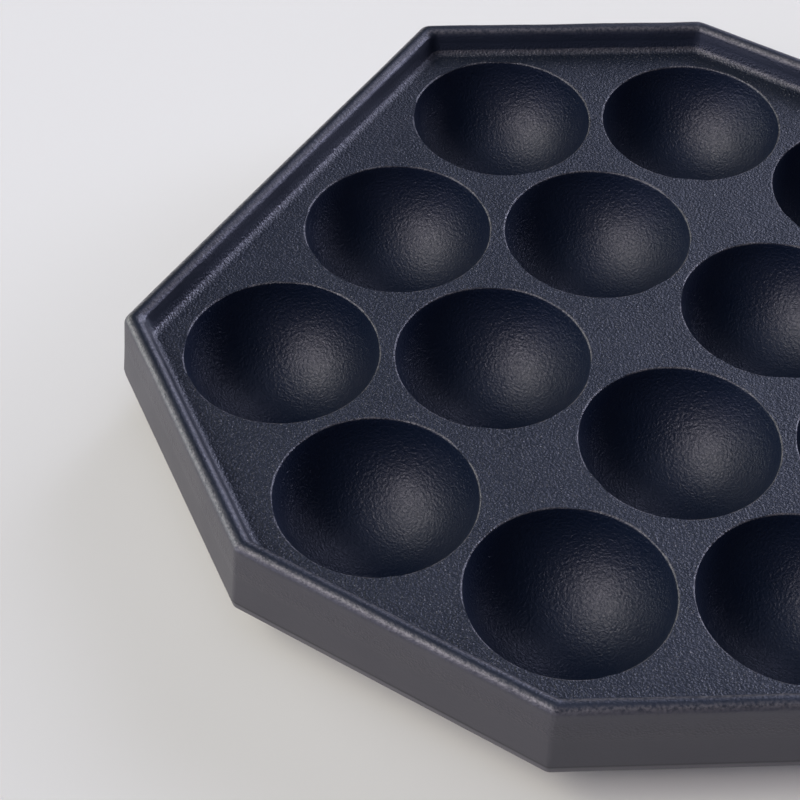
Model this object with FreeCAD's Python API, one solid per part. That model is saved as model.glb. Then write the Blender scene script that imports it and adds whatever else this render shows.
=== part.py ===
import FreeCAD, Part
import math
import os

# Takoyaki maker: a single cast-iron plate with fourteen half-ball wells in an
# elongated octagon, and one turned wooden handle held on by a tie rod.
# The origin is the middle of the plate's cooking face. +X runs out along the
# handle, +Y along the long sides of the octagon, +Z is up. Millimetres.

# Wells
WELL_RADIUS = 21.0
WELL_DEPTH = 19.0
WELL_MOUTH_ROUNDING = 0.5
WELL_PITCH = 46.5
COLUMN_STEP = 38.9
MIDDLE_STEP = 44.9
WELL_TO_END_RIM = 8.0
SHORT_COLUMN_OVERHANG = 8.0
BOWL_WALL = 3.5
FOOT_FLOOR = 3.0

# Plate, raised rim and skirt
PLATE_THICKNESS = 4.5
HALF_WIDTH = 92.5
HALF_LENGTH = 100.1
LONG_SIDE = 121.8
END_SIDE = 71.4
RIM_HEIGHT = 5.9
RIM_WIDTH = 3.4
RIM_WALL_DRAFT = 18.0
SKIRT_DEPTH = 12.6
SKIRT_DRAFT = 4.0
SKIRT_WALL = 4.2
SKIRT_INNER_DRAFT = 6.0
PARTING_HEIGHT = 2.2
PARTING_INSET = 0.4
CORNER_ROUNDING = 2.2
RIM_OUTER_ROUNDING = 2.0
RIM_INNER_ROUNDING = 2.0
RIM_FOOT_ROUNDING = 3.0
TRAY_CORNER_ROUNDING = 3.4
UNDERSIDE_ROUNDING = 2.5
UNDERSIDE_CORNER_ROUNDING = 4.0

# Cast handle root
HANDLE_RISE = 12.0
HANDLE_START_HEIGHT = -3.6
ROOT_HALF_WIDTH = 27.0
ROOT_HALF_HEIGHT = 6.0
ROOT_SINK = 2.5
ROOT_WAIST_PLACE = 0.3
ROOT_WAIST_HALF_WIDTH = 18.0
ROOT_WAIST_HALF_HEIGHT = 7.6
ROOT_NECK_PLACE = 0.65
ROOT_NECK_HALF_WIDTH = 12.4
ROOT_NECK_HALF_HEIGHT = 11.0
ROOT_FILLET = 1.5
BOSS_RADIUS = 11.5
BOSS_LENGTH = 38.0
BOSS_EDGE_ROUNDING = 1.0
ROD_HOLE_DEPTH = 24.0

# Handle pieces, along the handle's own axis
ROD_RADIUS = 3.0
ROD_CLEARANCE = 0.05
FERRULE_LENGTH = 19.0
FERRULE_WALL = 1.2
FERRULE_FLOOR = 1.5
FERRULE_FLARE = 1.2
GRIP_LENGTH = 118.0
GRIP_BELLY_RADIUS = 15.4
GRIP_BELLY_PLACE = 0.36
GRIP_WAIST_RADIUS = 12.8
GRIP_WAIST_PLACE = 0.74
GRIP_END_RADIUS = 14.8
GRIP_END_ROUNDING = 4.0
GRIP_BORE_CLEARANCE = 0.3
SPIGOT_CLEARANCE = 0.1
SWELL_FULLNESS = 0.42
CAP_RADIUS = 10.5
CAP_THICKNESS = 2.6
CAP_EDGE_HEIGHT = 1.2
CAP_SEAT_MARGIN = 0.4
CAP_DOME_FULLNESS = 0.72
WASHER_RADIUS = 5.6
WASHER_THICKNESS = 1.6
WASHER_SPLIT = 1.0
NUT_RADIUS = 5.6
NUT_LENGTH = 10.0
NUT_BORE_DEPTH = 8.0
NUT_NECK_RADIUS = 2.8
EYE_WIRE_RADIUS = 2.3
EYE_HOLE_RADIUS = 3.4

# Hanging ring
RING_WIRE_RADIUS = 1.5
RING_RADIUS = 15.0
RING_CLEARANCE = 0.15

# How far a cutting shape reaches past what it cuts, and how near counts as equal
OVERCUT = 1.0
NEAR = 1e-4

Z_AXIS = FreeCAD.Vector(0, 0, 1)


def sin(degrees):
    return math.sin(math.radians(degrees))


def cos(degrees):
    return math.cos(math.radians(degrees))


def tan(degrees):
    return math.tan(math.radians(degrees))


def octagon_corners(outset):
    """Corners of the rim's outline, moved outwards by outset on every side."""
    half_long = LONG_SIDE / 2
    half_end = END_SIDE / 2
    corners = [(HALF_WIDTH, -half_long), (HALF_WIDTH, half_long),
               (half_end, HALF_LENGTH), (-half_end, HALF_LENGTH),
               (-HALF_WIDTH, half_long), (-HALF_WIDTH, -half_long),
               (-half_end, -HALF_LENGTH), (half_end, -HALF_LENGTH)]
    sides = []
    for index, start in enumerate(corners):
        end = corners[(index + 1) % len(corners)]
        length = math.hypot(end[0] - start[0], end[1] - start[1])
        normal = ((end[1] - start[1]) / length, (start[0] - end[0]) / length)
        reach = normal[0] * start[0] + normal[1] * start[1] + outset
        sides.append((normal, reach))
    moved = []
    for index, (normal, reach) in enumerate(sides):
        before, before_reach = sides[index - 1]
        cross = before[0] * normal[1] - before[1] * normal[0]
        x = (before_reach * normal[1] - reach * before[1]) / cross
        y = (reach * before[0] - before_reach * normal[0]) / cross
        moved.append((x, y))
    return moved


def octagon_wire(outset, z):
    points = [FreeCAD.Vector(x, y, z) for x, y in octagon_corners(outset)]
    return Part.makePolygon(points + [points[0]])


def octagon_block(low_outset, low_z, high_outset, high_z):
    """Solid between two parallel octagons, with flat drafted sides."""
    wires = [octagon_wire(low_outset, low_z), octagon_wire(high_outset, high_z)]
    return Part.makeLoft(wires, True, True)


def upright_edges(solid):
    """Edges that run from the bottom level of a block to its top level."""
    height = solid.BoundBox.ZLength
    return [edge for edge in solid.Edges if height - edge.BoundBox.ZLength < NEAR]


def is_level(shape, z):
    box = shape.BoundBox
    return abs(box.ZMin - z) < NEAR and abs(box.ZMax - z) < NEAR


def level_edges(solid, z):
    """Edges that lie at height z."""
    return [edge for edge in solid.Edges if is_level(edge, z)]


def wells_in(length):
    """How many wells fit in a column of the given length."""
    return 1 + int((length - 2 * WELL_RADIUS) / WELL_PITCH)


def well_centres():
    outer = MIDDLE_STEP / 2 + COLUMN_STEP
    inner = MIDDLE_STEP / 2
    long_column = wells_in(2 * (HALF_LENGTH - WELL_TO_END_RIM))
    short_column = wells_in(LONG_SIDE + 2 * SHORT_COLUMN_OVERHANG)
    columns = [(-outer, short_column), (-inner, long_column),
               (inner, long_column), (outer, short_column)]
    centres = []
    for x, count in columns:
        for index in range(count):
            centres.append((x, (index - (count - 1) / 2) * WELL_PITCH))
    return centres


def well_sphere():
    """Radius of the well's ball and the height of its centre over the plate."""
    radius = (WELL_RADIUS ** 2 + WELL_DEPTH ** 2) / (2 * WELL_DEPTH)
    return radius, radius - WELL_DEPTH


def outer_body():
    """The casting's outside: drafted skirt, rounded rim and the parting line."""
    flare = (RIM_HEIGHT + SKIRT_DEPTH) * tan(SKIRT_DRAFT)
    body = octagon_block(flare, -SKIRT_DEPTH, 0, RIM_HEIGHT)
    body = body.makeFillet(CORNER_ROUNDING, upright_edges(body))
    body = body.makeFillet(RIM_OUTER_ROUNDING, level_edges(body, RIM_HEIGHT))
    return body.makeChamfer(PARTING_HEIGHT, PARTING_INSET, level_edges(body, -SKIRT_DEPTH))


def tray_recess():
    """Space above the plate, inside the rim."""
    top = RIM_HEIGHT + OVERCUT
    foot = RIM_WIDTH + RIM_HEIGHT * tan(RIM_WALL_DRAFT)
    mouth = RIM_WIDTH - (top - RIM_HEIGHT) * tan(RIM_WALL_DRAFT)
    recess = octagon_block(-foot, 0, -mouth, top)
    recess = recess.makeFillet(TRAY_CORNER_ROUNDING, upright_edges(recess))
    return recess.makeFillet(RIM_FOOT_ROUNDING, level_edges(recess, 0))


def underside_recess():
    """Space under the plate, inside the skirt."""
    bottom = -SKIRT_DEPTH - OVERCUT
    wall = SKIRT_WALL - SKIRT_DEPTH * tan(SKIRT_DRAFT)
    roof = wall + (-PLATE_THICKNESS - bottom) * tan(SKIRT_INNER_DRAFT)
    recess = octagon_block(-wall, bottom, -roof, -PLATE_THICKNESS)
    recess = recess.makeFillet(UNDERSIDE_CORNER_ROUNDING, upright_edges(recess))
    return recess.makeFillet(UNDERSIDE_ROUNDING, level_edges(recess, -PLATE_THICKNESS))


def round_rim_inside(casting):
    """Round the inner edge of the rim's flat top."""
    for face in casting.Faces:
        if is_level(face, RIM_HEIGHT):
            inner = [wire for wire in face.Wires if not wire.isSame(face.OuterWire)]
            return casting.makeFillet(RIM_INNER_ROUNDING, inner[0].Edges)
    return casting


def bowl_outside(x, y):
    """Outside of one well under the plate, with its flat foot."""
    radius, height = well_sphere()
    foot = -WELL_DEPTH - FOOT_FLOOR
    size = 2 * (radius + BOWL_WALL)
    ball = Part.makeSphere(radius + BOWL_WALL, FreeCAD.Vector(x, y, height))
    corner = FreeCAD.Vector(x - size / 2, y - size / 2, foot)
    below_plate = Part.makeBox(size, size, -PLATE_THICKNESS / 2 - foot, corner)
    return ball.common(below_plate)


def well_cutter(x, y):
    radius, height = well_sphere()
    return Part.makeSphere(radius, FreeCAD.Vector(x, y, height))


def mouth_edges(casting):
    """Circles round the wells on the plate's top face."""
    rings = [edge for edge in level_edges(casting, 0) if isinstance(edge.Curve, Part.Circle)]
    return [ring for ring in rings if abs(ring.Curve.Radius - WELL_RADIUS) < NEAR]


def handle_wall(z):
    """How far out the skirt's face on the handle's side is, at height z."""
    return HALF_WIDTH + (RIM_HEIGHT - z) * tan(SKIRT_DRAFT)


def along_handle(shape):
    """Carry a shape from its own +X axis onto the handle's axis."""
    wall = handle_wall(HANDLE_START_HEIGHT)
    start = FreeCAD.Vector(wall, 0, HANDLE_START_HEIGHT)
    turn = FreeCAD.Rotation(FreeCAD.Vector(0, 1, 0), -HANDLE_RISE)
    placed = shape.copy()
    placed.Placement = FreeCAD.Placement(start, turn).multiply(placed.Placement)
    return placed


def cross_section(station, half_width, half_height):
    """Oval across the handle's axis, at a distance along it."""
    centre = FreeCAD.Vector(0, 0, 0)
    if half_width - half_height > NEAR:
        curve = Part.Ellipse(centre, half_width, half_height)
    else:
        curve = Part.Circle(centre, Z_AXIS, half_width)
    wire = Part.Wire([curve.toShape()])
    stand_up = FreeCAD.Rotation(FreeCAD.Vector(1, 1, 1), 120)
    wire.Placement = FreeCAD.Placement(FreeCAD.Vector(station, 0, 0), stand_up)
    return wire


def handle_root():
    """Cast root that narrows from the skirt to the round boss, with the rod's hole."""
    waist = BOSS_LENGTH * ROOT_WAIST_PLACE
    neck = BOSS_LENGTH * ROOT_NECK_PLACE
    sections = [
        cross_section(-ROOT_SINK, ROOT_HALF_WIDTH, ROOT_HALF_HEIGHT),
        cross_section(waist, ROOT_WAIST_HALF_WIDTH, ROOT_WAIST_HALF_HEIGHT),
        cross_section(neck, ROOT_NECK_HALF_WIDTH, ROOT_NECK_HALF_HEIGHT),
        cross_section(BOSS_LENGTH, BOSS_RADIUS, BOSS_RADIUS),
    ]
    root = Part.makeLoft(sections, True, False)
    end = [edge for edge in root.Edges if BOSS_LENGTH - edge.BoundBox.XMin < NEAR]
    return root.makeFillet(BOSS_EDGE_ROUNDING, end)


def add_handle_root(casting):
    """Join the root to the skirt, with a fillet along the line where they meet."""
    joined = casting.fuse([along_handle(handle_root())])
    flat = LONG_SIDE / 2 - CORNER_ROUNDING
    seam = []
    for edge in joined.Edges:
        middle = edge.valueAt((edge.FirstParameter + edge.LastParameter) / 2)
        inside_face = edge.BoundBox.YMax < flat and edge.BoundBox.YMin > -flat
        if inside_face and abs(middle.x - handle_wall(middle.z)) < NEAR:
            seam.append(edge)
    return joined.makeFillet(ROOT_FILLET, seam)


def rod_hole():
    start = FreeCAD.Vector(BOSS_LENGTH - ROD_HOLE_DEPTH, 0, 0)
    radius = ROD_RADIUS + ROD_CLEARANCE
    length = ROD_HOLE_DEPTH + OVERCUT
    return Part.makeCylinder(radius, length, start, FreeCAD.Vector(1, 0, 0))


def pan_casting():
    centres = well_centres()
    casting = outer_body().cut([tray_recess(), underside_recess()])
    casting = add_handle_root(round_rim_inside(casting))
    casting = casting.fuse([bowl_outside(x, y) for x, y in centres])
    wells = [well_cutter(x, y) for x, y in centres]
    casting = casting.cut(wells + [along_handle(rod_hole())])
    return casting.makeFillet(WELL_MOUTH_ROUNDING, mouth_edges(casting))


def turned(edges):
    """Solid of revolution about +X from a closed outline in the XZ plane."""
    face = Part.Face(Part.Wire(edges))
    return face.revolve(FreeCAD.Vector(0, 0, 0), FreeCAD.Vector(1, 0, 0), 360)


def point(x, z):
    return FreeCAD.Vector(x, 0, z)


def line(start, end):
    return Part.LineSegment(start, end).toShape()


def polygon_edges(points):
    """Straight edges through the points, closed back to the first."""
    return [line(start, points[(index + 1) % len(points)])
            for index, start in enumerate(points)]


def handle_ferrule():
    """Flared sleeve with a floor that bears on the boss."""
    start = BOSS_LENGTH
    end = start + FERRULE_LENGTH
    floor = start + FERRULE_FLOOR
    bore = ROD_RADIUS + GRIP_BORE_CLEARANCE
    outer_end = BOSS_RADIUS + FERRULE_FLARE
    outline = [point(start, bore), point(start, BOSS_RADIUS - BOSS_EDGE_ROUNDING / 2),
               point(start + BOSS_EDGE_ROUNDING / 2, BOSS_RADIUS),
               point(end, outer_end), point(end, outer_end - FERRULE_WALL),
               point(floor, BOSS_RADIUS - FERRULE_WALL), point(floor, bore)]
    return turned(polygon_edges(outline))


def swell(stations, radii):
    """Smooth outline through radii that are each a crest or a hollow."""
    edges = []
    for index in range(len(stations) - 1):
        here, there = stations[index], stations[index + 1]
        handle = SWELL_FULLNESS * (there - here)
        curve = Part.BezierCurve()
        curve.setPoles([point(here, radii[index]), point(here + handle, radii[index]),
                        point(there - handle, radii[index + 1]),
                        point(there, radii[index + 1])])
        edges.append(curve.toShape())
    return edges


def wooden_grip():
    """Turned grip: tapered spigot, swelling belly, waist and rounded butt."""
    start = BOSS_LENGTH + FERRULE_FLOOR
    shoulder = BOSS_LENGTH + FERRULE_LENGTH
    end = start + GRIP_LENGTH
    bore = ROD_RADIUS + GRIP_BORE_CLEARANCE
    spigot = BOSS_RADIUS - FERRULE_WALL - SPIGOT_CLEARANCE
    neck = BOSS_RADIUS + FERRULE_FLARE
    spigot_end = neck - FERRULE_WALL - SPIGOT_CLEARANCE
    butt = end - GRIP_END_ROUNDING
    free = butt - shoulder
    face_radius = GRIP_END_RADIUS - GRIP_END_ROUNDING
    belly = shoulder + GRIP_BELLY_PLACE * free
    waist = shoulder + GRIP_WAIST_PLACE * free
    stations = [shoulder, belly, waist, butt]
    radii = [neck, GRIP_BELLY_RADIUS, GRIP_WAIST_RADIUS, GRIP_END_RADIUS]
    tip = Part.Arc(point(butt, GRIP_END_RADIUS),
                   point(butt + GRIP_END_ROUNDING * sin(45),
                         face_radius + GRIP_END_ROUNDING * cos(45)),
                   point(end, face_radius))
    edges = [line(point(start, bore), point(start, spigot)),
             line(point(start, spigot), point(shoulder, spigot_end)),
             line(point(shoulder, spigot_end), point(shoulder, neck))]
    edges += swell(stations, radii)
    edges += [tip.toShape(),
              line(point(end, face_radius), point(end, bore)),
              line(point(end, bore), point(start, bore))]
    return turned(edges)


def grip_end():
    return BOSS_LENGTH + FERRULE_FLOOR + GRIP_LENGTH


def end_cap():
    """Turned cap on the butt of the grip, with a domed face."""
    start = grip_end()
    end = start + CAP_THICKNESS
    bore = ROD_RADIUS + GRIP_BORE_CLEARANCE
    edge = start + CAP_EDGE_HEIGHT
    seat = WASHER_RADIUS + CAP_SEAT_MARGIN
    dome = Part.Arc(point(edge, CAP_RADIUS),
                    point(edge + CAP_DOME_FULLNESS * (end - edge), (CAP_RADIUS + seat) / 2),
                    point(end, seat))
    edges = [line(point(start, bore), point(start, CAP_RADIUS)),
             line(point(start, CAP_RADIUS), point(edge, CAP_RADIUS)),
             dome.toShape(),
             line(point(end, seat), point(end, bore)),
             line(point(end, bore), point(start, bore))]
    return turned(edges)


def spring_washer():
    """Split washer that keeps the grip tight as the wood shrinks."""
    start = grip_end() + CAP_THICKNESS
    bore = ROD_RADIUS + GRIP_BORE_CLEARANCE
    end = start + WASHER_THICKNESS
    outline = [point(start, bore), point(start, WASHER_RADIUS),
               point(end, WASHER_RADIUS), point(end, bore)]
    washer = turned(polygon_edges(outline))
    corner = FreeCAD.Vector(start - OVERCUT, -WASHER_SPLIT / 2, 0)
    length = WASHER_THICKNESS + 2 * OVERCUT
    slot = Part.makeBox(length, WASHER_SPLIT, WASHER_RADIUS + OVERCUT, corner)
    return washer.cut(slot)


def nut_start():
    return grip_end() + CAP_THICKNESS + WASHER_THICKNESS


def eye_station():
    return nut_start() + NUT_LENGTH + EYE_HOLE_RADIUS + EYE_WIRE_RADIUS / 2


def eye_nut():
    """Round nut with a blind thread and a forged eye."""
    start = nut_start()
    end = start + NUT_LENGTH
    shoulder = start + NUT_BORE_DEPTH
    bore = ROD_RADIUS + ROD_CLEARANCE
    outline = [point(start, bore), point(start, NUT_RADIUS), point(shoulder, NUT_RADIUS),
               point(end, NUT_NECK_RADIUS),
               point(end + EYE_WIRE_RADIUS / 2, NUT_NECK_RADIUS),
               point(end + EYE_WIRE_RADIUS / 2, 0), point(shoulder, 0),
               point(shoulder, bore)]
    collar = turned(polygon_edges(outline))
    eye_radius = EYE_HOLE_RADIUS + EYE_WIRE_RADIUS
    centre = FreeCAD.Vector(eye_station() + EYE_WIRE_RADIUS / 2, 0, 0)
    eye = Part.makeTorus(eye_radius, EYE_WIRE_RADIUS, centre, FreeCAD.Vector(0, 1, 0))
    return collar.fuse(eye).removeSplitter()


def tie_rod():
    """Long rod from the bottom of the boss's hole to the bottom of the nut's bore."""
    start = BOSS_LENGTH - ROD_HOLE_DEPTH
    end = nut_start() + NUT_BORE_DEPTH
    base = FreeCAD.Vector(start, 0, 0)
    return Part.makeCylinder(ROD_RADIUS, end - start, base, FreeCAD.Vector(1, 0, 0))


def ring_pivot():
    """Where the ring's wire lies in the eye while the ring hangs."""
    eye = FreeCAD.Vector(eye_station() + EYE_WIRE_RADIUS / 2, 0, 0)
    centre = along_handle(Part.Vertex(eye)).Point
    drop = EYE_HOLE_RADIUS - RING_WIRE_RADIUS - RING_CLEARANCE
    return centre - FreeCAD.Vector(0, 0, drop)


def hanging_ring():
    centre = ring_pivot() - FreeCAD.Vector(0, 0, RING_RADIUS)
    return Part.makeTorus(RING_RADIUS, RING_WIRE_RADIUS, centre, FreeCAD.Vector(1, 0, 0))


def write(name, shape):
    os.makedirs("parts", exist_ok=True)
    shape.exportStep(os.path.join("parts", name + ".step"))
    print(name, "valid" if shape.isValid() else "NOT VALID", round(shape.Volume))


write("pan_casting", pan_casting())
write("handle_ferrule", along_handle(handle_ferrule()))
write("wooden_grip", along_handle(wooden_grip()))
write("tie_rod", along_handle(tie_rod()))
write("end_cap", along_handle(end_cap()))
write("spring_washer", along_handle(spring_washer()))
write("eye_nut", along_handle(eye_nut()))
write("hanging_ring", hanging_ring())
print("ring pivot", ring_pivot())
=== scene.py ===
# %% [markdown]
# # A cast-iron takoyaki maker
# The object is a heavy iron plate with fourteen half-ball wells, a raised rim, a deep
# skirt and one turned wooden handle. The plate is a single casting with a baked black
# finish, so nearly all of its look is in three things: clean round edges that catch
# the light, a fine pebbled skin, and wells that are smooth enough to hold a soft glow.
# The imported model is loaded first, because every piece is placed by it.

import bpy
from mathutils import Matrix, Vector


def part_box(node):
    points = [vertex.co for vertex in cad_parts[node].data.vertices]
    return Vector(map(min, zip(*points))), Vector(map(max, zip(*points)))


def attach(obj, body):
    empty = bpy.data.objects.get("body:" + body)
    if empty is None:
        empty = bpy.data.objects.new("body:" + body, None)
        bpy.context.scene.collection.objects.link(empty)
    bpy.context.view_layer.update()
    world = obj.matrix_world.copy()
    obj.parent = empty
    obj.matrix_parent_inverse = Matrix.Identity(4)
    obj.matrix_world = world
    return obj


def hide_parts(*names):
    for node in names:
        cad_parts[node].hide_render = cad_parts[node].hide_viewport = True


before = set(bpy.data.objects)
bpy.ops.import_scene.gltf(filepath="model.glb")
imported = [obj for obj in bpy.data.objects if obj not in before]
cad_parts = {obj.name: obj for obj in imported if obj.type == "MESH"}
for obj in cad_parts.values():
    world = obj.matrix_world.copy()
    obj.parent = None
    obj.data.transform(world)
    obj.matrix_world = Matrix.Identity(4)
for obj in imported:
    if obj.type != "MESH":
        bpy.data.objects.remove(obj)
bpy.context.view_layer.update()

# %% Libraries
import math

import bmesh
import bpy
import numpy as np
from mathutils import Matrix, Vector
from mathutils.geometry import delaunay_2d_cdt

# %% [markdown]
# ## Sizes
# The sizes of the casting are written once here, in millimetres, and turned into
# metres where a point is made. The height of the table comes from the frame: the pan
# stands on the flat feet under its wells, so the lowest point of the casting is it.

# %% Sizes of the casting
MM = 0.001
WELL_RADIUS = 21.0
WELL_DEPTH = 19.0
WELL_PITCH = 46.5
COLUMN_STEP = 38.9
MIDDLE_STEP = 44.9
MOUTH_ROUNDING = 0.5
BOWL_WALL = 3.5
PLATE_THICKNESS = 4.5
HALF_WIDTH = 92.5
HALF_LENGTH = 100.1
LONG_SIDE = 121.8
END_SIDE = 71.4
RIM_HEIGHT = 5.9
RIM_WIDTH = 3.4
RIM_WALL_DRAFT = 18.0
SKIRT_DEPTH = 12.6
SKIRT_DRAFT = 4.0
SKIRT_WALL = 4.2
SKIRT_INNER_DRAFT = 6.0
PARTING_HEIGHT = 2.2
PARTING_INSET = 0.4

TABLE_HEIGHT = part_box("pan_casting")[0].z
print("table height in mm", round(TABLE_HEIGHT / MM, 2))


def sin(degrees):
    """Sine of an angle in degrees."""
    return math.sin(math.radians(degrees))


def cos(degrees):
    """Cosine of an angle in degrees."""
    return math.cos(math.radians(degrees))


def tan(degrees):
    """Tangent of an angle in degrees."""
    return math.tan(math.radians(degrees))


# %% [markdown]
# ## Turning arrays of points into meshes
# A surface is a grid of points: one row for each step of one parameter, one column for
# each step of the other. Its faces follow from the grid alone, so they are counted out
# with array arithmetic. Several surfaces are stacked into one mesh and points that
# meet are merged, which is how a casting becomes one closed skin.

# %% Mesh helpers
def grid_faces(rows, columns, wrap_columns, start=0):
    """Four-cornered faces of a grid whose points are numbered row by row from start."""
    number = start + np.arange(rows * columns).reshape(rows, columns)
    if wrap_columns:
        number = np.concatenate([number, number[:, :1]], axis=1)
    corners = [number[:-1, :-1], number[:-1, 1:], number[1:, 1:], number[1:, :-1]]
    return np.stack(corners, axis=-1).reshape(-1, 4)


def mesh_object(name, parts, merge=0.002 * MM):
    """One object from several (points, faces) pairs; points closer than merge join."""
    offset = 0
    all_points = []
    all_faces = []
    for points, faces in parts:
        all_points.append(np.asarray(points).reshape(-1, 3))
        all_faces += (np.asarray(faces) + offset).tolist()
        offset += len(all_points[-1])
    mesh = bpy.data.meshes.new(name)
    mesh.from_pydata(np.concatenate(all_points).tolist(), [], all_faces)
    mesh.update()
    obj = bpy.data.objects.new(name, mesh)
    bpy.context.scene.collection.objects.link(obj)
    weld(obj, merge)
    mesh.polygons.foreach_set("use_smooth", np.ones(len(mesh.polygons), bool))
    print(name, "points", len(mesh.vertices), "faces", len(mesh.polygons))
    return obj


def weld(obj, distance):
    """Merge points that meet and drop faces that this leaves without an area."""
    work = bmesh.new()
    work.from_mesh(obj.data)
    bmesh.ops.remove_doubles(work, verts=work.verts, dist=distance)
    bmesh.ops.dissolve_degenerate(work, edges=work.edges, dist=distance)
    bmesh.ops.recalc_face_normals(work, faces=work.faces)
    work.to_mesh(obj.data)
    work.free()


# %% [markdown]
# ## The outline of the plate
# Seen from above the casting is an octagon with two long sides, two end sides and four
# slanted ones, and each corner is rounded. Every level of the rim and skirt has the
# same outline, moved in or out by some distance and with some corner radius. So one
# function gives the ring of points for any inset and corner radius.

# %% Outline function
OUTLINE = np.array([(HALF_WIDTH, -LONG_SIDE / 2), (HALF_WIDTH, LONG_SIDE / 2),
                    (END_SIDE / 2, HALF_LENGTH), (-END_SIDE / 2, HALF_LENGTH),
                    (-HALF_WIDTH, LONG_SIDE / 2), (-HALF_WIDTH, -LONG_SIDE / 2),
                    (-END_SIDE / 2, -HALF_LENGTH), (END_SIDE / 2, -HALF_LENGTH)])
ARC_STEPS = 10
SIDE_STEPS = 60


def outline(inset, rounding):
    """Rings of a rounded octagon, one for each inset and corner radius.

    A corner of the octagon moves along its mitre line by the inset; an arc of the
    corner radius has its centre on that line, as far in as makes it touch both sides.
    """
    inset = np.asarray(inset, float).reshape(-1, 1, 1)
    rounding = np.asarray(rounding, float).reshape(-1, 1, 1)
    along = np.roll(OUTLINE, -1, axis=0) - OUTLINE
    along /= np.linalg.norm(along, axis=1, keepdims=True)
    after = np.stack([along[:, 1], -along[:, 0]], axis=1)
    before = np.roll(after, 1, axis=0)
    mitre = (before + after) / (1 + (before * after).sum(1, keepdims=True))
    centre = OUTLINE - (inset + rounding) * mitre
    start = np.arctan2(before[:, 1], before[:, 0])
    turn = np.arctan2(after[:, 1], after[:, 0]) - start
    turn = np.mod(turn, 2 * math.pi)
    angle = start[:, None] + turn[:, None] * np.linspace(0, 1, ARC_STEPS)
    spoke = np.stack([np.cos(angle), np.sin(angle)], axis=-1)
    arcs = centre[:, :, None, :] + rounding[..., None] * spoke
    ends = np.roll(arcs[:, :, 0], -1, axis=1)
    share = np.linspace(0, 1, SIDE_STEPS + 2)[1:-1, None]
    sides = arcs[:, :, -1, None, :] * (1 - share) + ends[:, :, None, :] * share
    ring = np.concatenate([arcs, sides], axis=2)
    return ring.reshape(len(inset), -1, 2)


# %% [markdown]
# ## The rim and skirt
# Cut across anywhere along a side, the rim has one profile: the plate curves up in a
# cove, the inner wall rises to a rounded crown, the crown rolls over into the skirt,
# and the skirt widens slightly down to the line where the two halves of the mould met.
# Below that line the iron draws in again, and the underside is a thinner wall. The
# profile is a path of straight legs whose corners are replaced by arcs. The cove at the
# tray's foot has a radius of 1.8 mm here and 3 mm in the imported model, because the
# picture shows a tighter one.

# %% Profile of the rim and skirt
def rounded_path(points, radii, steps):
    """Path through the points with each inner corner replaced by an arc.

    The arc touches both legs. Other columns, such as the corner radius of the outline,
    change evenly from one touching point to the other.
    """
    points = np.asarray(points, float)
    rows = [points[:1]]
    for index in range(1, len(points) - 1):
        here = points[index]
        back = points[index - 1] - here
        on = points[index + 1] - here
        back_unit = back[:2] / np.linalg.norm(back[:2])
        on_unit = on[:2] / np.linalg.norm(on[:2])
        half = math.acos(max(-1.0, min(1.0, float(back_unit @ on_unit)))) / 2
        reach = radii[index] / math.tan(half)
        first = here + back * reach / np.linalg.norm(back[:2])
        last = here + on * reach / np.linalg.norm(on[:2])
        inward = (back_unit + on_unit) / np.linalg.norm(back_unit + on_unit)
        centre = here[:2] + inward * radii[index] / math.sin(half)
        share = np.linspace(0, 1, steps[index])[:, None]
        row = first + (last - first) * share
        begin = first[:2] - centre
        sweep = math.pi - 2 * half
        side = math.copysign(1, back_unit[0] * on_unit[1] - back_unit[1] * on_unit[0])
        angle = -side * sweep * share[:, 0]
        row[:, 0] = centre[0] + begin[0] * np.cos(angle) - begin[1] * np.sin(angle)
        row[:, 1] = centre[1] + begin[0] * np.sin(angle) + begin[1] * np.cos(angle)
        rows.append(row)
    rows.append(points[-1:])
    return np.concatenate(rows)


def refine(path, longest):
    """Path with extra points, so that no step is longer than given."""
    step = np.diff(path, axis=0)
    count = np.maximum(1, np.ceil(np.linalg.norm(step[:, :2], axis=1) / longest)).astype(int)
    number = np.repeat(np.arange(len(step)), count)
    share = np.concatenate([np.arange(n) / n for n in count])[:, None]
    return np.concatenate([path[number] + step[number] * share, path[-1:]])


flare = (RIM_HEIGHT + SKIRT_DEPTH) * tan(SKIRT_DRAFT)
flare_at_parting = (RIM_HEIGHT + SKIRT_DEPTH - PARTING_HEIGHT) * tan(SKIRT_DRAFT)
tray_wall_foot = RIM_WIDTH + RIM_HEIGHT * tan(RIM_WALL_DRAFT)
under_wall_foot = SKIRT_WALL - SKIRT_DEPTH * tan(SKIRT_DRAFT)
under_wall_top = under_wall_foot + (SKIRT_DEPTH - PLATE_THICKNESS) * tan(SKIRT_INNER_DRAFT)
TRAY_EDGE = 7.8
ROOF_EDGE = 7.2
# Columns: distance in from the outline, height, corner radius of the outline.
profile_points = [
    (TRAY_EDGE, 0.0, 1.2),
    (tray_wall_foot, 0.0, 3.4),
    (RIM_WIDTH, RIM_HEIGHT, 3.6),
    (0.0, RIM_HEIGHT, 2.2),
    (-flare_at_parting, -SKIRT_DEPTH + PARTING_HEIGHT, 2.2),
    (-flare + PARTING_INSET, -SKIRT_DEPTH, 2.2),
    (under_wall_foot, -SKIRT_DEPTH, 4.0),
    (under_wall_top, -PLATE_THICKNESS, 4.0),
    (ROOF_EDGE, -PLATE_THICKNESS, 2.0),
]
profile_radii = [0, 1.8, 2.0, 2.0, 0.25, 0.7, 0.8, 2.4, 0]
profile_steps = [0, 9, 7, 10, 4, 6, 5, 8, 0]
profile = refine(rounded_path(profile_points, profile_radii, profile_steps), 2.5)
print("profile points", len(profile))

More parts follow.
